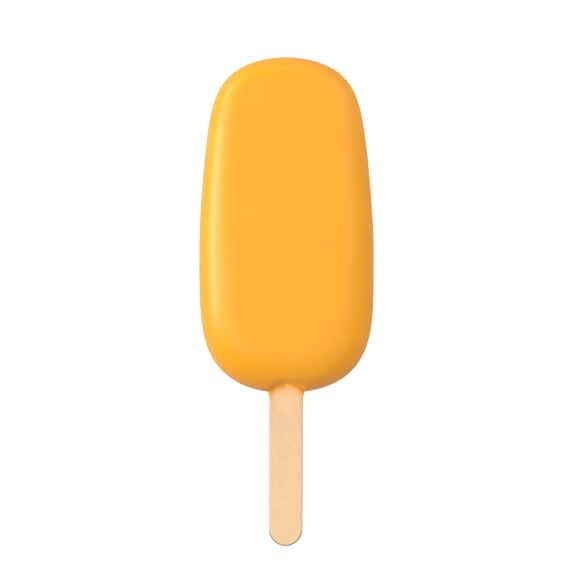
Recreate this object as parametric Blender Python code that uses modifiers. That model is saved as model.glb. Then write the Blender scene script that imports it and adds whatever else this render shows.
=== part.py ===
"""A coated ice lolly lying on its back: a smooth moulded bar on a flat wooden stick.

Run it with blender --background --python part.py, or from Blender's text editor. Units are metres.
+X is across the bar, +Y runs from the stick to the head, +Z is up, away from the surface it lies on.
The origin is on that surface, under the middle of the whole lolly.
"""

import bisect
import math

import bmesh
import bpy
from mathutils import Matrix, Vector

# The stick, a standard flat one with round ends.
STICK_LENGTH = 0.093
STICK_WIDTH = 0.010
STICK_THICKNESS = 0.002
STICK_EDGE = 0.0004
STICK_SHOWN = 0.0452

# The bar's outline, seen from above: widest nearer the stick, narrower towards the head.
BAR_WIDTH = 0.0516
FOOT_LENGTH = 0.0434
HEAD_LENGTH = 0.0559
FOOT_SQUARENESS = 4.52
FOOT_ROUNDNESS = 2.2
HEAD_SQUARENESS = 9.9
HEAD_ROUNDNESS = 1.82
HEAD_TAPER = 0.216
HEAD_TAPER_POWER = 1.58
SIDEWAYS_LEAN = 0.003

# The bar's thickness: flat faces that draw together towards the head, each with a soft edge all round
# whose width grows from the head to the foot.
THICKNESS_AT_WIDEST = 0.026
FACE_DRAFT = 0.02
HEAD_ROLL = 0.007
FOOT_ROLL = 0.0145
FACE_POWER = 2.8
SIDE_POWER = 2.2

# The collar of coating round the stick's root, and the dimple across the foot that the stick stands in.
COLLAR_REACH = 0.0019
COLLAR_WALL = 0.0004
COLLAR_DEPTH = 0.004
COLLAR_EDGE = 0.0006
DIMPLE_HALF_WIDTH = 0.0049
DIMPLE_RISE = 0.002
DIMPLE_HALF_DEPTH = 0.0085
DIMPLE_SQUARENESS = 4

# Clearance between the stick and the pocket that it is frozen into.
POCKET_GAP = 0.0003

# Mesh density.
OUTLINE_SAMPLES = 500
AROUND = 96
ROLL_STEPS = 12
FLAT_STEPS = 2
TANGENT_REACH = 0.002
STICK_ARC_STEPS = 14
STICK_EDGE_STEPS = 2
COLLAR_EDGE_STEPS = 3
DIMPLE_SEGMENTS = 28
WELD_DISTANCE = 0.000001

# Colour, roughness and metallic value.
COATING_FINISH = ((0.95, 0.43, 0.02), 0.35, 0.0)
WOOD_FINISH = ((0.91, 0.62, 0.36), 0.7, 0.0)

# Places that follow from the sizes above.
LOLLY_LENGTH = STICK_SHOWN + FOOT_LENGTH + HEAD_LENGTH
STICK_END_Y = -LOLLY_LENGTH / 2
FOOT_Y = STICK_END_Y + STICK_SHOWN
WIDEST_Y = FOOT_Y + FOOT_LENGTH
HEAD_Y = WIDEST_Y + HEAD_LENGTH


def clear_scene():
    for obj in list(bpy.data.objects):
        bpy.data.objects.remove(obj, do_unlink=True)


def new_collection(name):
    collection = bpy.data.collections.new(name)
    bpy.context.scene.collection.children.link(collection)
    return collection


def new_material(name, finish):
    colour, roughness, metallic = finish
    material = bpy.data.materials.new(name)
    material.use_nodes = True
    shader = material.node_tree.nodes["Principled BSDF"]
    shader.inputs["Base Color"].default_value = (*colour, 1.0)
    shader.inputs["Roughness"].default_value = roughness
    shader.inputs["Metallic"].default_value = metallic
    return material


def new_mesh_object(name, bm, collection):
    mesh = bpy.data.meshes.new(name)
    bm.to_mesh(mesh)
    bm.free()
    obj = bpy.data.objects.new(name, mesh)
    collection.objects.link(obj)
    return obj


def cap(share, squareness, roundness):
    """A superellipse quarter: 1 at share 0, falling to 0 at share 1."""
    return max(0.0, 1.0 - share**squareness) ** (1.0 / roundness)


def half_width(y):
    """Half the bar's width at y, from its outline."""
    if y < WIDEST_Y:
        share = min(1.0, (WIDEST_Y - y) / FOOT_LENGTH)
        return BAR_WIDTH / 2 * cap(share, FOOT_SQUARENESS, FOOT_ROUNDNESS)
    share = min(1.0, (y - WIDEST_Y) / HEAD_LENGTH)
    taper = 1.0 - HEAD_TAPER * share**HEAD_TAPER_POWER
    return BAR_WIDTH / 2 * taper * cap(share, HEAD_SQUARENESS, HEAD_ROUNDNESS)


def middle_height(y):
    """Height of the bar's middle plane, which the stick lies in. The back face stays on the floor."""
    return THICKNESS_AT_WIDEST / 2 - FACE_DRAFT * (y - WIDEST_Y)


def fine_outline():
    """Closely spaced points round the bar's outline, anticlockwise from the middle of the foot."""
    right = []
    for step in range(OUTLINE_SAMPLES + 1):
        y = FOOT_Y + (HEAD_Y - FOOT_Y) * (1.0 - math.cos(math.pi * step / OUTLINE_SAMPLES)) / 2
        right.append(Vector((half_width(y), y)))
    left = [Vector((-point.x, point.y)) for point in reversed(right[:-1])]
    return right + left


def even_outline(count):
    """Points at even distances round the outline, each with the direction into the bar."""
    points = fine_outline()
    travelled = [0.0]
    for start, end in zip(points, points[1:]):
        travelled.append(travelled[-1] + (end - start).length)

    def at(distance):
        distance %= travelled[-1]
        index = bisect.bisect_right(travelled, distance) - 1
        share = (distance - travelled[index]) / (travelled[index + 1] - travelled[index])
        return points[index].lerp(points[index + 1], share)

    even = []
    for index in range(count):
        distance = travelled[-1] * index / count
        along = at(distance + TANGENT_REACH) - at(distance - TANGENT_REACH)
        even.append((at(distance), Vector((-along.y, along.x)).normalized()))
    return even


def roll_width(y):
    """Width of the soft edge between a face and the bar's side at y."""
    return FOOT_ROLL + (HEAD_ROLL - FOOT_ROLL) * (y - FOOT_Y) / (HEAD_Y - FOOT_Y)


def bar_point(unit, outline):
    """Where a point of a unit sphere, its poles on Z, lies on the bar."""
    level = math.asin(max(-1.0, min(1.0, unit.z))) / (math.pi / 2)
    step = abs(level) * (ROLL_STEPS + FLAT_STEPS)
    edge, inward = outline[round(math.atan2(unit.y, unit.x) / math.tau * AROUND) % AROUND]
    angle = math.pi / 2 * min(1.0, step / ROLL_STEPS)
    inset = roll_width(edge.y) * (1.0 - math.cos(angle) ** (2.0 / FACE_POWER))
    up = math.sin(angle) ** (2.0 / SIDE_POWER)
    to_centre = max(0.0, min(1.0, (step - ROLL_STEPS) / FLAT_STEPS))
    point = (edge + inward * inset).lerp(Vector((0.0, WIDEST_Y)), to_centre)
    middle = middle_height(point.y)
    x = point.x - SIDEWAYS_LEAN * (point.y - WIDEST_Y)
    return x, point.y, middle + math.copysign(middle * up, level)


def make_bar_form(name, collection):
    outline = even_outline(AROUND)
    bm = bmesh.new()
    levels = 2 * (ROLL_STEPS + FLAT_STEPS)
    bmesh.ops.create_uvsphere(bm, u_segments=AROUND, v_segments=levels, radius=1.0)
    for vert in bm.verts:
        vert.co = bar_point(vert.co, outline)
    bmesh.ops.recalc_face_normals(bm, faces=bm.faces)
    return new_mesh_object(name, bm, collection)


def stick_outline(length, width):
    """Points round a flat stick with half-round ends, centred on the origin."""
    radius = width / 2
    straight = length / 2 - radius
    points = []
    for end in (1, -1):
        for step in range(STICK_ARC_STEPS + 1):
            angle = math.pi * step / STICK_ARC_STEPS
            points.append((end * radius * math.cos(angle), end * (straight + radius * math.sin(angle))))
    return points


def make_stick_curve(name, grow, edge, collection):
    """A stick, made larger by grow on every side, with its long edges rounded by edge."""
    curve = bpy.data.curves.new(name, "CURVE")
    curve.dimensions = "2D"
    curve.fill_mode = "BOTH"
    curve.extrude = STICK_THICKNESS / 2 + grow - edge
    curve.bevel_depth = edge
    curve.bevel_resolution = STICK_EDGE_STEPS
    curve.offset = -edge
    outline = stick_outline(STICK_LENGTH + 2 * grow, STICK_WIDTH + 2 * grow)
    spline = curve.splines.new("POLY")
    spline.points.add(len(outline) - 1)
    for point, (x, y) in zip(spline.points, outline):
        point.co = (x, y, 0.0, 1.0)
    spline.use_cyclic_u = True
    obj = bpy.data.objects.new(name, curve)
    collection.objects.link(obj)
    return obj


def make_into_mesh(obj):
    """Replaces a curve object by a closed mesh object in the same place."""
    bpy.context.view_layer.update()
    graph = bpy.context.evaluated_depsgraph_get()
    mesh = bpy.data.meshes.new_from_object(obj.evaluated_get(graph))
    bm = bmesh.new()
    bm.from_mesh(mesh)
    bmesh.ops.remove_doubles(bm, verts=bm.verts, dist=WELD_DISTANCE)
    bmesh.ops.recalc_face_normals(bm, faces=bm.faces)
    bm.to_mesh(mesh)
    bm.free()
    name, collection, parent = obj.name, obj.users_collection[0], obj.parent
    place, parent_inverse = obj.matrix_basis.copy(), obj.matrix_parent_inverse.copy()
    bpy.data.objects.remove(obj, do_unlink=True)
    made = bpy.data.objects.new(name, mesh)
    collection.objects.link(made)
    made.parent = parent
    made.matrix_parent_inverse = parent_inverse
    made.matrix_basis = place
    return made


def make_stick_axis(collection):
    """An empty on the stick's free end, with its Y axis along the bar's middle plane."""
    axis = bpy.data.objects.new("stick_axis", None)
    collection.objects.link(axis)
    axis.location = (0.0, STICK_END_Y, middle_height(STICK_END_Y))
    axis.rotation_euler.x = -math.atan(FACE_DRAFT)
    return axis


def put_on_axis(obj, axis, along):
    obj.parent = axis
    obj.location = (0.0, along, 0.0)


def make_collar(name, axis, collection):
    """A short sleeve round the stick, from inside the foot to just past it."""
    length = COLLAR_DEPTH + COLLAR_REACH
    bm = bmesh.new()
    bmesh.ops.create_cube(bm, size=1.0)
    width = STICK_WIDTH + 2 * (POCKET_GAP + COLLAR_WALL)
    thickness = STICK_THICKNESS + 2 * (POCKET_GAP + COLLAR_WALL)
    bmesh.ops.transform(bm, matrix=Matrix.Diagonal((width, length, thickness, 1.0)), verts=bm.verts)
    collar = new_mesh_object(name, bm, collection)
    bevel = collar.modifiers.new("rounded_edges", "BEVEL")
    bevel.width = COLLAR_EDGE
    bevel.segments = COLLAR_EDGE_STEPS
    put_on_axis(collar, axis, STICK_SHOWN - COLLAR_REACH + length / 2)
    return collar


def make_dimple(name, axis, collection):
    """A pillow-shaped cutter that draws the coating back from the middle of the stick's two faces."""
    half_length = COLLAR_REACH + DIMPLE_RISE
    bm = bmesh.new()
    bmesh.ops.create_uvsphere(bm, u_segments=DIMPLE_SEGMENTS, v_segments=DIMPLE_SEGMENTS // 2, radius=1.0)
    for vert in bm.verts:
        up = math.copysign(abs(vert.co.z) ** (2 / DIMPLE_SQUARENESS), vert.co.z)
        out = vert.co.xy.length
        squarer = out ** (2 / DIMPLE_SQUARENESS - 1) if out > WELD_DISTANCE else 1.0
        vert.co = (
            DIMPLE_HALF_WIDTH * vert.co.x * squarer,
            half_length * vert.co.y * squarer,
            DIMPLE_HALF_DEPTH * up,
        )
    dimple = new_mesh_object(name, bm, collection)
    put_on_axis(dimple, axis, STICK_SHOWN - COLLAR_REACH)
    return dimple


def as_helper(obj):
    obj.hide_render = True
    obj.display_type = "WIRE"
    return obj


def add_boolean(obj, other, operation):
    boolean = obj.modifiers.new(f"{operation.lower()}_{other.name}", "BOOLEAN")
    boolean.operation = operation
    boolean.solver = "EXACT"
    boolean.object = other


def make_bar(axis, parts, helpers):
    """The coated bar: its form, with the collar joined on and the dimple and the stick's pocket cut out."""
    bar = make_bar_form("coated_bar", parts)
    collar = as_helper(make_collar("collar", axis, helpers))
    dimple = as_helper(make_dimple("dimple", axis, helpers))
    pocket = make_stick_curve("stick_pocket", POCKET_GAP, 0.0, helpers)
    put_on_axis(pocket, axis, STICK_LENGTH / 2)
    pocket = as_helper(make_into_mesh(pocket))
    add_boolean(bar, collar, "UNION")
    add_boolean(bar, dimple, "DIFFERENCE")
    add_boolean(bar, pocket, "DIFFERENCE")
    bar.data.shade_smooth()
    bar.data.materials.append(new_material("fruit_coating", COATING_FINISH))
    return bar


def make_stick(axis, parts):
    stick = make_stick_curve("stick", 0.0, STICK_EDGE, parts)
    put_on_axis(stick, axis, STICK_LENGTH / 2)
    stick = make_into_mesh(stick)
    stick.data.materials.append(new_material("pale_wood", WOOD_FINISH))
    return stick


def main():
    clear_scene()
    parts = new_collection("ice_lolly")
    helpers = new_collection("cutters_and_guides")
    axis = make_stick_axis(parts)
    make_bar(axis, parts, helpers)
    make_stick(axis, parts)


main()
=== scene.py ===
"""A coated ice lolly on a flat wooden stick: its looks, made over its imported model.

The lolly lies on its back. Units are metres. +X is across the bar, +Y runs from the stick to the bar's
head, and +Z is up, out of the face that shows. The stick lies in the bar's middle plane, halfway between
its faces. Each piece is a loft through rings. A ring is made from one quarter of a section: points that run
from the section's right side to the middle of its upper face, given by x, y and how far up they are from
that plane.
"""

import math
from collections import namedtuple

import bmesh
import bpy
import numpy as np
from bpy.props import FloatProperty, FloatVectorProperty, PointerProperty
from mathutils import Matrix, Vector, noise


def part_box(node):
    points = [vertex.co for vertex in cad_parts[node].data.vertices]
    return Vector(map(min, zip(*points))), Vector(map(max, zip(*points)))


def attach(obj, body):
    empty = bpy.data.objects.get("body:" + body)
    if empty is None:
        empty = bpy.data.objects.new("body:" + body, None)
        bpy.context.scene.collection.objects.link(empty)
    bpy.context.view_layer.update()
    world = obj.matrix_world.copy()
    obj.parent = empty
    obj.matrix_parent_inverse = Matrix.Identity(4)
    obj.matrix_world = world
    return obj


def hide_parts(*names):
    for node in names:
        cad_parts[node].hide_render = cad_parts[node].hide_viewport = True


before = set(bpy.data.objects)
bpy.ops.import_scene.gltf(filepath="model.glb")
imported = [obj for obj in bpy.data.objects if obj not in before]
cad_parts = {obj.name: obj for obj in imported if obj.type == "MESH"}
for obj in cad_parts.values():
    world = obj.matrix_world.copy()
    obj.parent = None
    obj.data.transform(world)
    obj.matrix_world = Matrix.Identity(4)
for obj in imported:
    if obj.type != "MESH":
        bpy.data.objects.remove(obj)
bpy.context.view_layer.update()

bl_info = {
    "name": "Coated Ice Lolly",
    "version": (1, 0, 0),
    "blender": (4, 5, 0),
    "location": "3D View > Sidebar > Ice Lolly",
    "description": "Makes a coated bar with its collar, a flat wooden stick and a plain studio",
    "category": "Add Mesh",
}

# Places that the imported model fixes.
BAR_LOW, BAR_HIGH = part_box("coated_bar")
STICK_LOW, STICK_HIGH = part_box("stick")
HEAD_Y = BAR_HIGH.y
COLLAR_END_Y = BAR_LOW.y

# Mesh density of the coating.
OUTLINE_SAMPLES = 900
FLAT_STEPS = 14
ROLL_STEPS = 50
BODY_RINGS = 190
FOOT_RINGS = 40
COLLAR_RINGS = 26
POCKET_RINGS = 12
POCKET_END_RINGS = 10
HALVINGS = 30
MOST_FLAT_SHARE = 0.72
LEAST_FLAT_SHARE = 0.15

# Mesh density of the stick.
SIDE_STEPS = 3
EDGE_STEPS = 8
FACE_STEPS = 18
LONG_RINGS = 150
END_RINGS = 40

# Where the rings turn from the bar's sections to the foot's end, and how they crowd together towards the
# stick and then towards the lip.
END_DEPTH = 0.0048
FOOT_CROWDING = 1.3
COLLAR_CROWDING = 1.7

# How sharply the foot turns into the collar on the stick's faces, and how much more on its narrow sides.
FACE_STEEPNESS = 2.5
EXTRA_SIDE_STEEPNESS = 1.5

# The coating's sink into the wood at its lip, and the pocket round the stick.
LIP_SINK = 0.00004
POCKET_GAP = 0.0003
POCKET_START = 0.004

# Between which distances from the foot, and which heights over the floor, the bar's slow waves come in.
WAVES_FROM_FOOT = (0.003, 0.012)
WAVES_OVER_FLOOR = (0.0, 0.006)

# Length of the wood's waves across the stick, along it and through it.
WOOD_WAVE_LENGTHS = (0.004, 0.03, 0.004)

# Waves to the metre in the coating's colour and in its fine skin, the depth of the fine ones, and how much
# rougher or smoother than usual they make the skin.
CLOUD_WAVES = (70.0, 70.0, 70.0)
SKIN_WAVES = (900.0, 900.0, 900.0)
SKIN_DEPTH = 0.000006
SKIN_ROUGHNESS_SWING = 0.02

# Between which places along the bar, and which upward parts of the way it faces, the painted shade on its
# sides comes in: a deeper colour where the coating turns down near the foot.
SIDE_SHADE_FADE = (0.06, -0.01)
SIDE_SHADE_TURN = (0.97, 0.5)

# Waves to the metre in the wood's grain, broad bands and flecks, and how strongly each shows.
GRAIN_WAVES = (2500.0, 620.0, 2500.0)
GRAIN_SHARE = 0.65
BAND_WAVES = (620.0, 130.0, 620.0)
BAND_SHARE = 0.35
FLECK_WAVES = (3000.0, 1100.0, 3000.0)
FLECK_SHARE = 0.7
FIBRE_DEPTH = 0.00001
WOOD_ROUGHNESS = (0.62, 0.74)

# How far the wood's surface is turned to a side, or to the bare end, where the painted shade of the
# stick's tumbled edges starts and where it is full, and how strong it then is.
SIDE_EDGE_SHADE_TURN = (0.06, 0.35)
END_EDGE_SHADE_TURN = (0.0, -0.12)
EDGE_SHADE_STRENGTH = (0.0, 0.9)

# How far down the wood the juice has soaked: a stain close to the coating, and a faint tinge beyond it.
STAIN_REACH = 0.0024
STAIN_STRENGTH = 0.5
TINGE_REACH = 0.006
TINGE_STRENGTH = 0.12

# The studio: what the softboxes and the root's light are aimed at, and the point in the bar's middle plane
# at the picture's centre.
SUBJECT = Vector((0.0, 0.015, 0.013))
ROOT = Vector((0.0, COLLAR_END_Y + 0.0044, 0.014))
PICTURE_CENTRE = Vector((-0.00044, 0.00483, 0.013))
SOFTBOX_DISTANCE = 1.2
FLOOR_SIZE = 4.0
FLOOR_WAVES = (3.0, 3.0, 3.0)
FLOOR_ROUGHNESS = 0.9

# The softboxes: degrees from +X towards +Y, degrees above the floor, metres wide and tall, and watts.
Softbox = namedtuple("Softbox", "name azimuth elevation width height power")
SOFTBOXES = (
    Softbox("softbox_left", 175.0, 15.0, 0.27, 0.6, 7.4),
    Softbox("softbox_left_high", 168.0, 43.0, 0.36, 0.45, 2.7),
    Softbox("softbox_top", 180.0, 70.0, 0.7, 0.7, 2.6),
    Softbox("softbox_corner", 144.0, 9.0, 0.32, 0.45, 4.5),
    Softbox("softbox_head", 80.0, 22.0, 0.8, 0.6, 1.8),
    Softbox("softbox_right_low", 36.0, 14.0, 0.9, 0.7, 3.2),
    Softbox("softbox_right_high", 36.0, 52.0, 0.8, 0.8, 3.2),
    Softbox("softbox_foot_high", 315.0, 50.0, 0.8, 0.8, 1.6),
    Softbox("softbox_foot", 270.0, 20.0, 0.8, 0.5, 1.0),
)

# A small light with a grid, which lights only the stick's root, and the spread of its beam in degrees.
ROOT_LIGHT = Softbox("root_light", 270.0, 60.0, 0.006, 0.006, 0.00015)
ROOT_LIGHT_DISTANCE = 0.2
ROOT_LIGHT_SPREAD = 4.8


class LollyBarShape(bpy.types.PropertyGroup):
    """Sizes of the moulded bar."""

    width: FloatProperty(
        name="Width", description="Width of the bar at its widest", default=0.0516,
        unit="LENGTH", subtype="DISTANCE",
    )
    foot_length: FloatProperty(
        name="Foot length", description="From the foot to the widest place", default=0.0434,
        unit="LENGTH", subtype="DISTANCE",
    )
    thickness: FloatProperty(
        name="Thickness", description="Thickness of the bar where it is widest", default=0.026,
        unit="LENGTH", subtype="DISTANCE",
    )
    face_draft: FloatProperty(
        name="Face draft", description="How fast the faces draw together towards the head", default=0.02,
    )
    head_roll: FloatProperty(
        name="Edge at the head", description="Width of the soft edge at the head", default=0.007,
        unit="LENGTH", subtype="DISTANCE",
    )
    foot_roll: FloatProperty(
        name="Edge at the foot", description="Width of the soft edge at the foot", default=0.0145,
        unit="LENGTH", subtype="DISTANCE",
    )
    lean: FloatProperty(
        name="Lean", description="How far the bar leans sideways, for each metre of length", default=-0.003,
    )
    unevenness: FloatProperty(
        name="Unevenness", description="Depth of the slow waves in the surface", default=0.00005,
        unit="LENGTH", subtype="DISTANCE",
    )
    wave_length: FloatProperty(
        name="Wave length", description="Length of the slow waves in the surface", default=0.012,
        unit="LENGTH", subtype="DISTANCE",
    )


class LollyCollarShape(bpy.types.PropertyGroup):
    """Sizes of the coating round the stick's root."""

    reach: FloatProperty(
        name="Reach", description="How far the collar runs down the stick's narrow sides", default=0.0019,
        unit="LENGTH", subtype="DISTANCE",
    )
    spread: FloatProperty(
        name="Spread", description="Width of the curve from the foot to the stick", default=0.0016,
        unit="LENGTH", subtype="DISTANCE",
    )
    arch_half_width: FloatProperty(
        name="Arch half width", description="Half width of the bare arch on the stick's face",
        default=0.0049, unit="LENGTH", subtype="DISTANCE",
    )
    arch_rise: FloatProperty(
        name="Arch rise", description="Height of the bare arch above the collar's end",
        default=0.00362, unit="LENGTH", subtype="DISTANCE",
    )
    dimple_half_width: FloatProperty(
        name="Dimple half width", description="Half width of the dimple across the foot", default=0.006,
        unit="LENGTH", subtype="DISTANCE",
    )
    dimple_rise: FloatProperty(
        name="Dimple rise", description="Height of the dimple above the collar's end", default=0.0049,
        unit="LENGTH", subtype="DISTANCE",
    )
    dimple_blend: FloatProperty(
        name="Dimple blend", description="Softness of the dimple's rim", default=0.0026,
        unit="LENGTH", subtype="DISTANCE",
    )


class LollyStickShape(bpy.types.PropertyGroup):
    """Sizes of the wooden stick."""

    width: FloatProperty(
        name="Width", description="Width of the stick", default=STICK_HIGH.x - STICK_LOW.x,
        unit="LENGTH", subtype="DISTANCE",
    )
    thickness: FloatProperty(
        name="Thickness", description="Thickness of the stick", default=0.002,
        unit="LENGTH", subtype="DISTANCE",
    )
    edge: FloatProperty(
        name="Edge", description="Radius of the tumbled edges", default=0.00045,
        unit="LENGTH", subtype="DISTANCE",
    )
    lean: FloatProperty(
        name="Lean", description="How far the stick leans sideways, for each metre of length", default=0.003,
    )
    waviness: FloatProperty(
        name="Waviness", description="Depth of the waves in the wood", default=0.00003,
        unit="LENGTH", subtype="DISTANCE",
    )


class LollyLooks(bpy.types.PropertyGroup):
    """Colours and finishes of the lolly."""

    coating: FloatVectorProperty(
        name="Coating", description="Main colour of the coating", default=(0.975, 0.394, 0.006),
        subtype="COLOR", size=3, min=0.0, max=1.0,
    )
    coating_deep: FloatVectorProperty(
        name="Deeper coating", description="Colour of the coating where it is a little thicker",
        default=(0.96, 0.381, 0.004), subtype="COLOR", size=3, min=0.0, max=1.0,
    )
    # Painted shade: a deeper colour for the sides that turn down near the foot, standing in for their shade.
    coating_side_shade: FloatVectorProperty(
        name="Coating on the sides", description="Colour of the coating where it turns down near the foot",
        default=(0.965, 0.362, 0.002), subtype="COLOR", size=3, min=0.0, max=1.0,
    )
    # Partly the thin coating's own lighter colour, partly painted light lifting the shade round the stick.
    coating_thin_and_painted_light: FloatVectorProperty(
        name="Thin coating", description="Colour of the thin coating round the stick",
        default=(0.98, 0.52, 0.065), subtype="COLOR", size=3, min=0.0, max=1.0,
    )
    coating_roughness: FloatProperty(
        name="Coating roughness", description="How soft the coating's sheen is",
        default=0.38, min=0.0, max=1.0,
    )
    coating_ior: FloatProperty(
        name="Coating IOR", description="How strongly the coating mirrors light",
        default=1.48, min=1.0, max=2.0,
    )
    wood: FloatVectorProperty(
        name="Wood", description="Main colour of the wood", default=(0.885, 0.612, 0.352),
        subtype="COLOR", size=3, min=0.0, max=1.0,
    )
    wood_grain: FloatVectorProperty(
        name="Wood grain", description="Colour of the darker grain", default=(0.80, 0.53, 0.285),
        subtype="COLOR", size=3, min=0.0, max=1.0,
    )
    # Painted shade: darker colours for the stick's narrow sides and its bare end, where the edges turn away.
    stick_side_shade: FloatVectorProperty(
        name="Side grain", description="Colour of the wood on the stick's narrow sides",
        default=(0.62, 0.47, 0.33), subtype="COLOR", size=3, min=0.0, max=1.0,
    )
    stick_end_shade: FloatVectorProperty(
        name="End grain", description="Colour of the wood where it is cut across",
        default=(0.3, 0.21, 0.13), subtype="COLOR", size=3, min=0.0, max=1.0,
    )
    juice: FloatVectorProperty(
        name="Juice", description="Colour that has soaked into the wood at its root",
        default=(0.94, 0.53, 0.13), subtype="COLOR", size=3, min=0.0, max=1.0,
    )
    floor: FloatVectorProperty(
        name="Floor", description="Colour of the studio's floor", default=(0.2, 0.2, 0.2),
        subtype="COLOR", size=3, min=0.0, max=1.0,
    )


class LollyStudio(bpy.types.PropertyGroup):
    """The studio's light, floor and camera."""

    surround: FloatProperty(
        name="Surround", description="Strength of the light from all round", default=0.32, min=0.0,
    )
    softboxes: FloatProperty(
        name="Softboxes", description="How much of their power the softboxes give", default=0.985, min=0.0,
    )
    floor_glow: FloatProperty(
        name="Floor glow", description="How much light the floor gives the lolly", default=0.29, min=0.0,
    )
    floor_white: FloatProperty(
        name="Floor white", description="How bright the floor looks in the picture", default=1.0, min=0.0,
    )
    lens: FloatProperty(
        name="Lens", description="Focal length of the camera, in millimetres", default=200.0, min=1.0,
    )
    view_width: FloatProperty(
        name="View width", description="Width of the picture, measured at the bar's middle plane",
        default=0.1687, unit="LENGTH", subtype="DISTANCE",
    )


def superellipse(share, squareness, roundness):
    """A superellipse quarter: 1 at share 0, falling to 0 at share 1."""
    return np.clip(1.0 - np.clip(share, 0.0, 1.0) ** squareness, 0.0, 1.0) ** (1.0 / roundness)


def smooth_larger(first, second, blend):
    """The larger of two heights, with a soft change from one to the other."""
    near = np.clip(1.0 - np.abs(first - second) / blend, 0.0, 1.0)
    return np.maximum(first, second) + near**2 * blend / 4


# One quarter of a ring. of_bar is 1 where the ring leans with the bar and 0 where it leans with the stick.
Quarter = namedtuple("Quarter", "x y up of_bar thinness")


class BarForm:
    """The moulded bar's form, without its dimple and its collar."""

    FOOT_SQUARENESS = 4.52
    FOOT_ROUNDNESS = 2.2
    HEAD_SQUARENESS = 9.6
    HEAD_ROUNDNESS = 1.96
    HEAD_TAPER = 0.213
    HEAD_TAPER_POWER = 1.56
    FACE_POWER = 2.8
    SIDE_POWER = 2.2

    def __init__(self, shape, collar):
        self.shape = shape
        self.foot_y = COLLAR_END_Y + collar.reach
        self.widest_y = self.foot_y + shape.foot_length
        turn = np.linspace(0.0, math.pi, OUTLINE_SAMPLES)
        self.edge_y = self.foot_y + (HEAD_Y - self.foot_y) * (1.0 - np.cos(turn)) / 2
        self.edge_x = self.half_width(self.edge_y)

    def half_width(self, y):
        """Half the bar's width at y."""
        foot_share = (self.widest_y - y) / (self.widest_y - self.foot_y)
        head_share = np.clip((y - self.widest_y) / (HEAD_Y - self.widest_y), 0.0, 1.0)
        foot = superellipse(foot_share, self.FOOT_SQUARENESS, self.FOOT_ROUNDNESS)
        taper = 1.0 - self.HEAD_TAPER * head_share**self.HEAD_TAPER_POWER
        head = taper * superellipse(head_share, self.HEAD_SQUARENESS, self.HEAD_ROUNDNESS)
        return self.shape.width / 2 * np.where(y < self.widest_y, foot, head)

    def middle_height(self, y):
        """Height of the middle plane above the surface that the lolly lies on."""
        return self.shape.thickness / 2 - self.shape.face_draft * (y - self.widest_y)

    def roll_width(self, y):
        """Width of the soft edge between a face and the side."""
        share = (y - self.foot_y) / (HEAD_Y - self.foot_y)
        return self.shape.foot_roll + (self.shape.head_roll - self.shape.foot_roll) * share

    def edge_near(self, x, y):
        """How far each point is from the outline, and the y of the outline's nearest place."""
        nearest = np.argmin((x[:, None] - self.edge_x) ** 2 + (y[:, None] - self.edge_y) ** 2, axis=1)
        gap, place = np.full(len(x), np.inf), np.zeros(len(x))
        for back in (1, 0):
            start = np.clip(nearest - back, 0, OUTLINE_SAMPLES - 2)
            run_x = self.edge_x[start + 1] - self.edge_x[start]
            run_y = self.edge_y[start + 1] - self.edge_y[start]
            along = (x - self.edge_x[start]) * run_x + (y - self.edge_y[start]) * run_y
            along = np.clip(along / (run_x**2 + run_y**2), 0.0, 1.0)
            near_y = self.edge_y[start] + along * run_y
            found = np.hypot(x - self.edge_x[start] - along * run_x, y - near_y)
            place = np.where(found < gap, near_y, place)
            gap = np.minimum(found, gap)
        return gap, place

    def rise(self, x, y):
        """How far the face is above the middle plane at each point."""
        gap, place = self.edge_near(x, y)
        share = np.clip(gap / self.roll_width(place), 0.0, 1.0)
        return self.middle_height(y) * superellipse(1.0 - share, self.FACE_POWER, self.SIDE_POWER)

    def quarter(self, y):
        """One quarter of the bar's section at y."""
        half = float(self.half_width(np.array([y]))[0])
        flat = float(np.clip(1.0 - self.roll_width(y) / half, LEAST_FLAT_SHARE, MOST_FLAT_SHARE))
        turn = np.linspace(0.0, math.pi / 2, ROLL_STEPS + 1)[:-1]
        rolled = flat + (1.0 - flat) * np.cos(turn) ** (2.0 / self.FACE_POWER)
        x = half * np.concatenate([rolled, np.linspace(flat, 0.0, FLAT_STEPS + 1)])
        level = np.full(len(x), y)
        return Quarter(x, level, self.rise(x, level), 1.0, np.zeros(len(x)))

    def foot_at(self, x, up):
        """The y of the foot's surface at each point of the bar's end."""
        foot_part = self.edge_y < self.widest_y
        low = np.interp(x, self.edge_x[foot_part], self.edge_y[foot_part])
        high = np.full(len(x), self.foot_y + self.shape.foot_roll)
        for _ in range(HALVINGS):
            middle = (low + high) / 2
            inside = self.rise(x, middle) > up
            high = np.where(inside, middle, high)
            low = np.where(inside, low, middle)
        return (low + high) / 2


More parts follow.
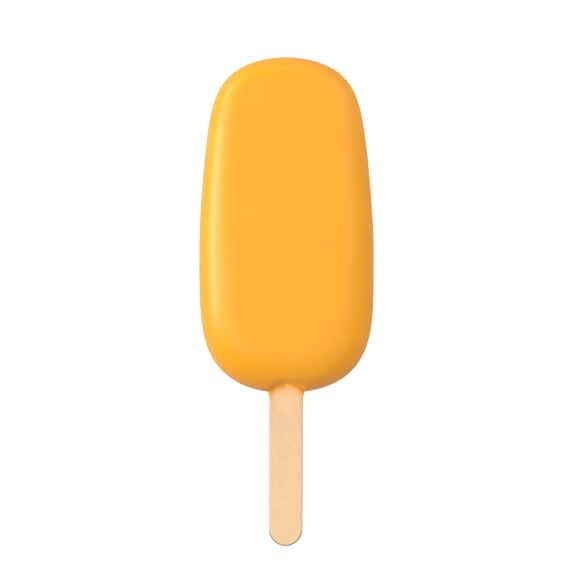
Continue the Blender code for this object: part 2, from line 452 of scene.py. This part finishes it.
class StickForm:
    """The flat stick's form, or that of a pocket which is larger than the stick by grow all round."""

    def __init__(self, stick, grow=0.0):
        self.radius = stick.width / 2 + grow
        self.half_thickness = stick.thickness / 2 + grow
        self.edge = stick.edge + grow
        self.low_y = STICK_LOW.y - grow
        self.high_y = STICK_HIGH.y + grow

    def quarter(self, y, face_steps):
        """One quarter of the stick's section at y."""
        past_straight = max(0.0, self.radius - min(y - self.low_y, self.high_y - y))
        half = math.sqrt(self.radius**2 - past_straight**2)
        rounded = min(self.edge, half / 2)
        turn = np.linspace(0.0, math.pi / 2, EDGE_STEPS + 1)[:-1]
        face = np.linspace(half - rounded, 0.0, face_steps + 1)
        x = np.concatenate([np.full(SIDE_STEPS, half), half - rounded * (1.0 - np.cos(turn)), face])
        gap = np.clip(self.radius - np.hypot(x, past_straight), 0.0, self.edge)
        up = self.half_thickness - self.edge + np.sqrt(self.edge**2 - (self.edge - gap) ** 2)
        up[:SIDE_STEPS] = np.linspace(0.0, up[SIDE_STEPS], SIDE_STEPS + 1)[:-1]
        return Quarter(x, np.full(len(x), y), up, 0.0, np.zeros(len(x)))

    def even_quarter(self, count):
        """A quarter of the straight part in even steps: x, up, and the direction out of the wood."""
        side, arc = self.half_thickness - self.edge, self.edge * math.pi / 2
        travel = np.linspace(0.0, side + arc + self.radius - self.edge, count)
        turn = np.clip((travel - side) / arc, 0.0, 1.0) * math.pi / 2
        x = self.radius - self.edge * (1.0 - np.cos(turn)) - np.clip(travel - side - arc, 0.0, None)
        up = np.minimum(travel, side) + self.edge * np.sin(turn)
        return x, up, np.cos(turn), np.sin(turn)

    def far_end_rings(self, count):
        """Where the rings round the far end are, up to just before its tip."""
        turn = np.linspace(math.pi / 2, 0.0, count + 1)[:-1]
        return self.high_y - self.radius * (1.0 - np.cos(turn))


def full_ring(quarter, form, bar_lean, stick_lean):
    """A ring of points, with their thinness, from a quarter that is mirrored across and up."""
    lean = stick_lean + (bar_lean - stick_lean) * quarter.of_bar
    parts = []
    for x_side, up_side in ((1, 1), (-1, 1), (-1, -1), (1, -1)):
        order = slice(None, -1) if x_side == up_side else slice(None, 0, -1)
        y = quarter.y[order]
        x = x_side * quarter.x[order] + lean * (y - form.widest_y)
        z = form.middle_height(y) + up_side * quarter.up[order]
        parts.append(np.column_stack([x, y, z, quarter.thinness[order]]))
    return np.vstack(parts)


def body_quarters(form):
    """The bar's sections, from its head to where its foot's end begins."""
    end_y = form.foot_y + END_DEPTH
    turns = np.linspace(math.pi / 2, 0.0, BODY_RINGS + 1)[1:]
    return [form.quarter(end_y + (HEAD_Y - end_y) * math.sin(turn)) for turn in turns]


def foot_quarters(form, stick_form, collar, outer):
    """From the foot's rim in to the stick, through the dimple and down the collar to its lip."""
    count = len(outer.x)
    root_x, root_up, out_x, out_up = stick_form.even_quarter(count)
    arch = np.clip(1.0 - (root_x / collar.arch_half_width) ** 2, 0.0, 1.0)
    lip = COLLAR_END_Y + collar.arch_rise * np.sqrt(arch)
    steepness = FACE_STEEPNESS + EXTRA_SIDE_STEEPNESS * out_x**2
    places = []
    for step in range(1, FOOT_RINGS + 1):
        share = 1.0 - (1.0 - step / FOOT_RINGS) ** FOOT_CROWDING
        x = outer.x + (root_x + out_x * collar.spread - outer.x) * share
        up = outer.up + (root_up + out_up * collar.spread - outer.up) * share
        places.append((x, up, collar.spread, 1.0 - share))
    for step in range(1, COLLAR_RINGS + 1):
        gap = (collar.spread + LIP_SINK) * (1.0 - step / COLLAR_RINGS) ** COLLAR_CROWDING - LIP_SINK
        places.append((root_x + out_x * gap, root_up + out_up * gap, gap, 0.0))
    quarters = []
    for x, up, gap, of_bar in places:
        across = np.clip(1.0 - (x / collar.dimple_half_width) ** 2, 0.0, 1.0)
        dimple = COLLAR_END_Y + collar.dimple_rise * np.sqrt(across)
        ground = smooth_larger(form.foot_at(x, up), dimple, collar.dimple_blend)
        pull = min(1.0, 1.0 - gap / collar.spread) ** steepness
        quarters.append(Quarter(x, ground + (lip - ground) * pull, up, of_bar, pull))
    behind_x = root_x + out_x * POCKET_GAP
    behind_up = root_up + out_up * POCKET_GAP
    return quarters + [Quarter(behind_x, ground + POCKET_GAP, behind_up, 0.0, pull)]


def pocket_quarters(form, stick, count):
    """The pocket that the stick is frozen into, from behind the collar to its closed end."""
    pocket = StickForm(stick, POCKET_GAP)
    face_steps = count - SIDE_STEPS - EDGE_STEPS - 1
    end_rings = pocket.far_end_rings(POCKET_END_RINGS)
    straight = np.linspace(form.foot_y + POCKET_START, end_rings[0], POCKET_RINGS + 1)[:-1]
    return [pocket.quarter(y, face_steps) for y in np.concatenate([straight, end_rings])]


def stick_quarters(stick):
    """The stick's sections from end to end."""
    form = StickForm(stick)
    far_end = form.far_end_rings(END_RINGS)
    near_end = (form.low_y + form.high_y - far_end)[::-1]
    straight = np.linspace(near_end[-1], far_end[0], LONG_RINGS + 1)[1:-1]
    return [form.quarter(y, FACE_STEPS) for y in np.concatenate([near_end, straight, far_end])]


def loft(rings):
    """A closed mesh through full rings, with a fan over each end. Its thinness layer is for the coating."""
    bm = bmesh.new()
    thinness = bm.verts.layers.float.new("thinness")
    rows = []
    for ring in rings:
        rows.append([])
        for x, y, z, thin in ring.tolist():
            vert = bm.verts.new((x, y, z))
            vert[thinness] = thin
            rows[-1].append(vert)
    for first, second in zip(rows, rows[1:]):
        for index in range(len(first)):
            bm.faces.new((first[index - 1], first[index], second[index], second[index - 1]))
    for row in (rows[0], rows[-1]):
        tip = bm.verts.new(sum((vert.co for vert in row), Vector()) / len(row))
        tip[thinness] = row[0][thinness]
        for index in range(len(row)):
            bm.faces.new((row[index - 1], row[index], tip))
    bmesh.ops.recalc_face_normals(bm, faces=bm.faces)
    return bm


def add_waves(bm, depth, lengths, fade):
    """Moves the surface in and out by slow waves, whose lengths along x, y and z are given."""
    bm.normal_update()
    moves = []
    for vert in bm.verts:
        place = Vector(part / length for part, length in zip(vert.co, lengths))
        moves.append(vert.normal * depth * noise.noise(place) * fade(vert.co))
    for vert, move in zip(bm.verts, moves):
        vert.co += move


def fade_in(value, start, end):
    """0 up to start and 1 from end on, with a smooth change between."""
    share = max(0.0, min(1.0, (value - start) / (end - start)))
    return share * share * (3.0 - 2.0 * share)


def add_piece(name, bm, material):
    """A smooth object with one material, from a finished mesh."""
    mesh = bpy.data.meshes.new(name)
    bm.to_mesh(mesh)
    bm.free()
    mesh.shade_smooth()
    mesh.materials.append(material)
    piece = bpy.data.objects.new(name, mesh)
    bpy.context.scene.collection.objects.link(piece)
    return piece


def add_node(tree, kind, inputs=None, **settings):
    """A shader node. An input is set to a value, or linked where a socket is given."""
    node = tree.nodes.new(kind)
    for name, value in settings.items():
        setattr(node, name, value)
    for socket, value in (inputs or {}).items():
        if isinstance(value, bpy.types.NodeSocket):
            tree.links.new(value, node.inputs[socket])
        else:
            node.inputs[socket].default_value = value
    return node


def mix_colours(tree, share, first, second):
    """A colour between two others."""
    node = add_node(tree, "ShaderNodeMix", data_type="RGBA")
    for socket, value in ((node.inputs[0], share), (node.inputs[6], first), (node.inputs[7], second)):
        if isinstance(value, bpy.types.NodeSocket):
            tree.links.new(value, socket)
        else:
            socket.default_value = value
    return node.outputs[2]


def colour(values):
    """A colour as a socket takes it."""
    return (*values, 1.0)


def new_shader_tree(name):
    """A new material with only a Principled shader, and its node tree."""
    material = bpy.data.materials.new(name)
    material.use_nodes = True
    return material, material.node_tree, material.node_tree.nodes["Principled BSDF"]


def variation_group():
    """The shader node group for a mask that varies over a surface, made once."""
    name = "natural_variation"
    if name in bpy.data.node_groups:
        return bpy.data.node_groups[name]
    group = bpy.data.node_groups.new(name, "ShaderNodeTree")
    for socket, kind in (
        ("Stretch", "NodeSocketVector"), ("Detail", "NodeSocketFloat"),
        ("Low", "NodeSocketFloat"), ("High", "NodeSocketFloat"),
    ):
        group.interface.new_socket(socket, in_out="INPUT", socket_type=kind)
    group.interface.new_socket("Mask", in_out="OUTPUT", socket_type="NodeSocketFloat")
    given = add_node(group, "NodeGroupInput").outputs
    place = add_node(group, "ShaderNodeTexCoord").outputs["Object"]
    stretched = add_node(
        group, "ShaderNodeVectorMath", {0: place, 1: given["Stretch"]}, operation="MULTIPLY"
    ).outputs[0]
    waves = add_node(
        group, "ShaderNodeTexNoise", {"Vector": stretched, "Scale": 1.0, "Detail": given["Detail"]}
    )
    mask = add_node(
        group, "ShaderNodeMapRange",
        {"Value": waves.outputs["Fac"], "From Min": given["Low"], "From Max": given["High"]},
        interpolation_type="SMOOTHSTEP",
    )
    add_node(group, "NodeGroupOutput", {"Mask": mask.outputs["Result"]})
    return group


def variation(tree, stretch, detail=2.0, low=0.3, high=0.7):
    """A mask that varies over the surface, with stretch waves to the metre along x, y and z."""
    values = {"Stretch": stretch, "Detail": detail, "Low": low, "High": high}
    return add_node(tree, "ShaderNodeGroup", values, node_tree=variation_group()).outputs["Mask"]


def in_range(tree, value, low, high, result=(0.0, 1.0)):
    """A value between low and high, brought to the given range with a smooth change."""
    values = {"Value": value, "From Min": low, "From Max": high, "To Min": result[0], "To Max": result[1]}
    return add_node(tree, "ShaderNodeMapRange", values, interpolation_type="SMOOTHSTEP").outputs["Result"]


def calculate(tree, operation, *values, **settings):
    """The result of a Math node."""
    inputs = dict(enumerate(values))
    return add_node(tree, "ShaderNodeMath", inputs, operation=operation, **settings).outputs[0]


def facing(tree):
    """The X, Y and Z of the way that a surface faces."""
    normal = add_node(tree, "ShaderNodeNewGeometry").outputs["Normal"]
    return add_node(tree, "ShaderNodeSeparateXYZ", {0: normal}).outputs


def position(tree):
    """The X, Y and Z of a place on a surface."""
    place = add_node(tree, "ShaderNodeTexCoord").outputs["Object"]
    return add_node(tree, "ShaderNodeSeparateXYZ", {0: place}).outputs


def coating_material(looks):
    """A smooth, satin fruit coating, uneven in depth, with painted shade that deepens it on the sides.

    Where it is thin round the stick it is lighter: partly its own colour, partly painted light there.
    """
    material, tree, shader = new_shader_tree("fruit_coating")
    cloudy = variation(tree, CLOUD_WAVES)
    skin = variation(tree, SKIN_WAVES, detail=3.0)
    thin = add_node(tree, "ShaderNodeAttribute", attribute_name="thinness").outputs["Fac"]
    # Painted shade: a deeper colour where the surface turns down near the foot, standing in for the shade
    # there.
    upward = calculate(tree, "ABSOLUTE", facing(tree)["Z"])
    turned_down = in_range(tree, upward, *SIDE_SHADE_TURN)
    near_foot = in_range(tree, position(tree)["Y"], *SIDE_SHADE_FADE)
    side = calculate(tree, "MULTIPLY", turned_down, near_foot)
    base = mix_colours(tree, cloudy, colour(looks.coating), colour(looks.coating_deep))
    base = mix_colours(tree, side, base, colour(looks.coating_side_shade))
    # Thin coating round the stick: partly its own lighter colour, partly painted light over the shade there.
    base = mix_colours(tree, thin, base, colour(looks.coating_thin_and_painted_light))
    smoothest = looks.coating_roughness - SKIN_ROUGHNESS_SWING
    roughest = looks.coating_roughness + SKIN_ROUGHNESS_SWING
    bump = add_node(tree, "ShaderNodeBump", {"Height": skin, "Distance": SKIN_DEPTH})
    tree.links.new(base, shader.inputs["Base Color"])
    tree.links.new(in_range(tree, skin, 0.0, 1.0, (smoothest, roughest)), shader.inputs["Roughness"])
    tree.links.new(bump.outputs["Normal"], shader.inputs["Normal"])
    shader.inputs["IOR"].default_value = looks.coating_ior
    return material


def below_lip(tree, x, y, collar):
    """How far a place on the stick's face is from the coating's arched lip, towards the stick's bare end."""
    share = calculate(tree, "DIVIDE", x, collar.arch_half_width)
    squared = calculate(tree, "MULTIPLY", share, share)
    arch = calculate(tree, "SUBTRACT", 1.0, squared, use_clamp=True)
    rounded = calculate(tree, "SQRT", arch)
    lip = calculate(tree, "MULTIPLY_ADD", rounded, collar.arch_rise, COLLAR_END_Y)
    return calculate(tree, "SUBTRACT", lip, y)


def wood_material(looks, collar):
    """Pale wood, a faint straight grain, painted shade on its sides and end, and a juice stain at its root.
    """
    material, tree, shader = new_shader_tree("pale_wood")
    grain = variation(tree, GRAIN_WAVES, detail=3.0)
    bands = variation(tree, BAND_WAVES)
    flecks = variation(tree, FLECK_WAVES, detail=1.0, low=0.6, high=0.68)
    place = position(tree)
    faces = facing(tree)
    # Painted shade: the narrow sides and the bare end darken where the tumbled edges turn away from the
    # light.
    side_shade_mask = in_range(tree, calculate(tree, "ABSOLUTE", faces["X"]), *SIDE_EDGE_SHADE_TURN, EDGE_SHADE_STRENGTH)
    end_shade_mask = in_range(tree, faces["Y"], *END_EDGE_SHADE_TURN, EDGE_SHADE_STRENGTH)
    distance = below_lip(tree, place["X"], place["Y"], collar)
    base = colour(looks.wood)
    for mask, most in ((grain, GRAIN_SHARE), (bands, BAND_SHARE), (flecks, FLECK_SHARE)):
        share = calculate(tree, "MULTIPLY", mask, most)
        base = mix_colours(tree, share, base, colour(looks.wood_grain))
    base = mix_colours(tree, side_shade_mask, base, colour(looks.stick_side_shade))
    base = mix_colours(tree, end_shade_mask, base, colour(looks.stick_end_shade))
    for reach, strength in ((STAIN_REACH, STAIN_STRENGTH), (TINGE_REACH, TINGE_STRENGTH)):
        soaked = in_range(tree, distance, 0.0, reach, (strength, 0.0))
        base = mix_colours(tree, soaked, base, colour(looks.juice))
    fibres = add_node(tree, "ShaderNodeBump", {"Height": grain, "Distance": FIBRE_DEPTH})
    tree.links.new(base, shader.inputs["Base Color"])
    tree.links.new(in_range(tree, grain, 0.0, 1.0, WOOD_ROUGHNESS), shader.inputs["Roughness"])
    tree.links.new(fibres.outputs["Normal"], shader.inputs["Normal"])
    return material


def floor_material(looks, studio):
    """A floor that looks white and evenly lit, but throws only a soft light back at the lolly."""
    material, tree, shader = new_shader_tree("pale_floor")
    seen = add_node(tree, "ShaderNodeLightPath").outputs["Is Camera Ray"]
    glow = in_range(tree, seen, 0.0, 1.0, (studio.floor_glow, studio.floor_white))
    tone = variation(tree, FLOOR_WAVES)
    pale = colour(looks.floor)
    duller = colour(0.99 * part for part in looks.floor)
    tree.links.new(mix_colours(tree, tone, pale, duller), shader.inputs["Base Color"])
    shader.inputs["Roughness"].default_value = FLOOR_ROUGHNESS
    shader.inputs["Emission Color"].default_value = (1.0, 1.0, 1.0, 1.0)
    tree.links.new(glow, shader.inputs["Emission Strength"])
    return material


def add_softbox(softbox, share, target=SUBJECT, distance=SOFTBOX_DISTANCE, spread=180.0):
    """A soft light that the camera doesn't see, aimed at the target and giving a share of its power."""
    light = bpy.data.lights.new(softbox.name, "AREA")
    light.shape = "RECTANGLE"
    light.size = softbox.width
    light.size_y = softbox.height
    light.spread = math.radians(spread)
    light.energy = softbox.power * share
    box = bpy.data.objects.new(softbox.name, light)
    bpy.context.scene.collection.objects.link(box)
    across, up = math.radians(softbox.azimuth), math.radians(softbox.elevation)
    direction = Vector((math.cos(across) * math.cos(up), math.sin(across) * math.cos(up), math.sin(up)))
    box.location = target + direction * distance
    box.rotation_euler = direction.to_track_quat("Z", "Y").to_euler()
    box.visible_camera = False


class LOLLY_OT_coated_bar(bpy.types.Operator):
    """Makes the coated bar, with its dimple, its collar and the pocket that holds the stick"""

    bl_idname = "lolly.coated_bar"
    bl_label = "Coated Bar"

    def execute(self, context):
        scene = context.scene
        shape, collar, stick = scene.lolly_bar, scene.lolly_collar, scene.lolly_stick
        form = BarForm(shape, collar)
        quarters = body_quarters(form)
        quarters += foot_quarters(form, StickForm(stick), collar, quarters[-1])
        quarters += pocket_quarters(form, stick, len(quarters[-1].x))
        bm = loft([full_ring(quarter, form, shape.lean, stick.lean) for quarter in quarters])

        def fade(place):
            from_foot = fade_in(place.y - form.foot_y, *WAVES_FROM_FOOT)
            return from_foot * fade_in(place.z, *WAVES_OVER_FLOOR)

        add_waves(bm, shape.unevenness, (shape.wave_length,) * 3, fade)
        piece = add_piece("fruit_coating", bm, coating_material(scene.lolly_looks))
        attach(piece, "root")
        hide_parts("coated_bar")
        return {"FINISHED"}


class LOLLY_OT_stick(bpy.types.Operator):
    """Makes the flat wooden stick with its round ends and tumbled edges"""

    bl_idname = "lolly.stick"
    bl_label = "Stick"

    def execute(self, context):
        scene = context.scene
        shape, collar, stick = scene.lolly_bar, scene.lolly_collar, scene.lolly_stick
        form = BarForm(shape, collar)
        rings = [full_ring(quarter, form, shape.lean, stick.lean) for quarter in stick_quarters(stick)]
        bm = loft(rings)
        add_waves(bm, stick.waviness, WOOD_WAVE_LENGTHS, lambda place: 1.0)
        piece = add_piece("wooden_stick", bm, wood_material(scene.lolly_looks, collar))
        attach(piece, "root")
        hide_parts("stick")
        return {"FINISHED"}


class LOLLY_OT_stage(bpy.types.Operator):
    """Makes the floor, the soft light and the camera"""

    bl_idname = "lolly.stage"
    bl_label = "Stage"

    def execute(self, context):
        scene = context.scene
        looks, studio = scene.lolly_looks, scene.lolly_studio
        self.make_floor(looks, studio)
        self.make_light(scene, studio)
        self.make_camera(scene, studio)
        return {"FINISHED"}

    def make_floor(self, looks, studio):
        bm = bmesh.new()
        bmesh.ops.create_grid(bm, x_segments=8, y_segments=8, size=FLOOR_SIZE / 2)
        add_piece("floor", bm, floor_material(looks, studio))

    def make_light(self, scene, studio):
        world = bpy.data.worlds.new("studio_light")
        world.use_nodes = True
        background = world.node_tree.nodes["Background"]
        background.inputs["Color"].default_value = (1.0, 1.0, 1.0, 1.0)
        background.inputs["Strength"].default_value = studio.surround
        scene.world = world
        for softbox in SOFTBOXES:
            add_softbox(softbox, studio.softboxes)
        add_softbox(ROOT_LIGHT, studio.softboxes, ROOT, ROOT_LIGHT_DISTANCE, ROOT_LIGHT_SPREAD)
        scene.view_settings.view_transform = "Standard"

    def make_camera(self, scene, studio):
        data = bpy.data.cameras.new("camera")
        data.lens = studio.lens
        camera = bpy.data.objects.new("camera", data)
        scene.collection.objects.link(camera)
        away = studio.view_width * studio.lens / data.sensor_width
        camera.location = PICTURE_CENTRE + Vector((0.0, 0.0, away))
        scene.camera = camera


class LOLLY_PT_panel(bpy.types.Panel):
    """The lolly's pieces, sizes and colours"""

    bl_idname = "LOLLY_PT_panel"
    bl_label = "Ice Lolly"
    bl_space_type = "VIEW_3D"
    bl_region_type = "UI"
    bl_category = "Ice Lolly"

    def draw(self, context):
        for operator in OPERATORS:
            self.layout.operator(operator.bl_idname)
        for name, group in PROPERTY_GROUPS.items():
            box = self.layout.box()
            for setting in group.__annotations__:
                box.prop(getattr(context.scene, name), setting)


PROPERTY_GROUPS = {
    "lolly_bar": LollyBarShape,
    "lolly_collar": LollyCollarShape,
    "lolly_stick": LollyStickShape,
    "lolly_looks": LollyLooks,
    "lolly_studio": LollyStudio,
}
OPERATORS = (LOLLY_OT_coated_bar, LOLLY_OT_stick, LOLLY_OT_stage)


def register():
    for kind in (*PROPERTY_GROUPS.values(), *OPERATORS, LOLLY_PT_panel):
        bpy.utils.register_class(kind)
    for name, group in PROPERTY_GROUPS.items():
        setattr(bpy.types.Scene, name, PointerProperty(type=group))


def unregister():
    for name in PROPERTY_GROUPS:
        delattr(bpy.types.Scene, name)
    for kind in (LOLLY_PT_panel, *reversed(OPERATORS), *PROPERTY_GROUPS.values()):
        bpy.utils.unregister_class(kind)


def main():
    register()
    bpy.ops.lolly.coated_bar()
    bpy.ops.lolly.stick()
    bpy.ops.lolly.stage()


if __name__ == "__main__":
    main()
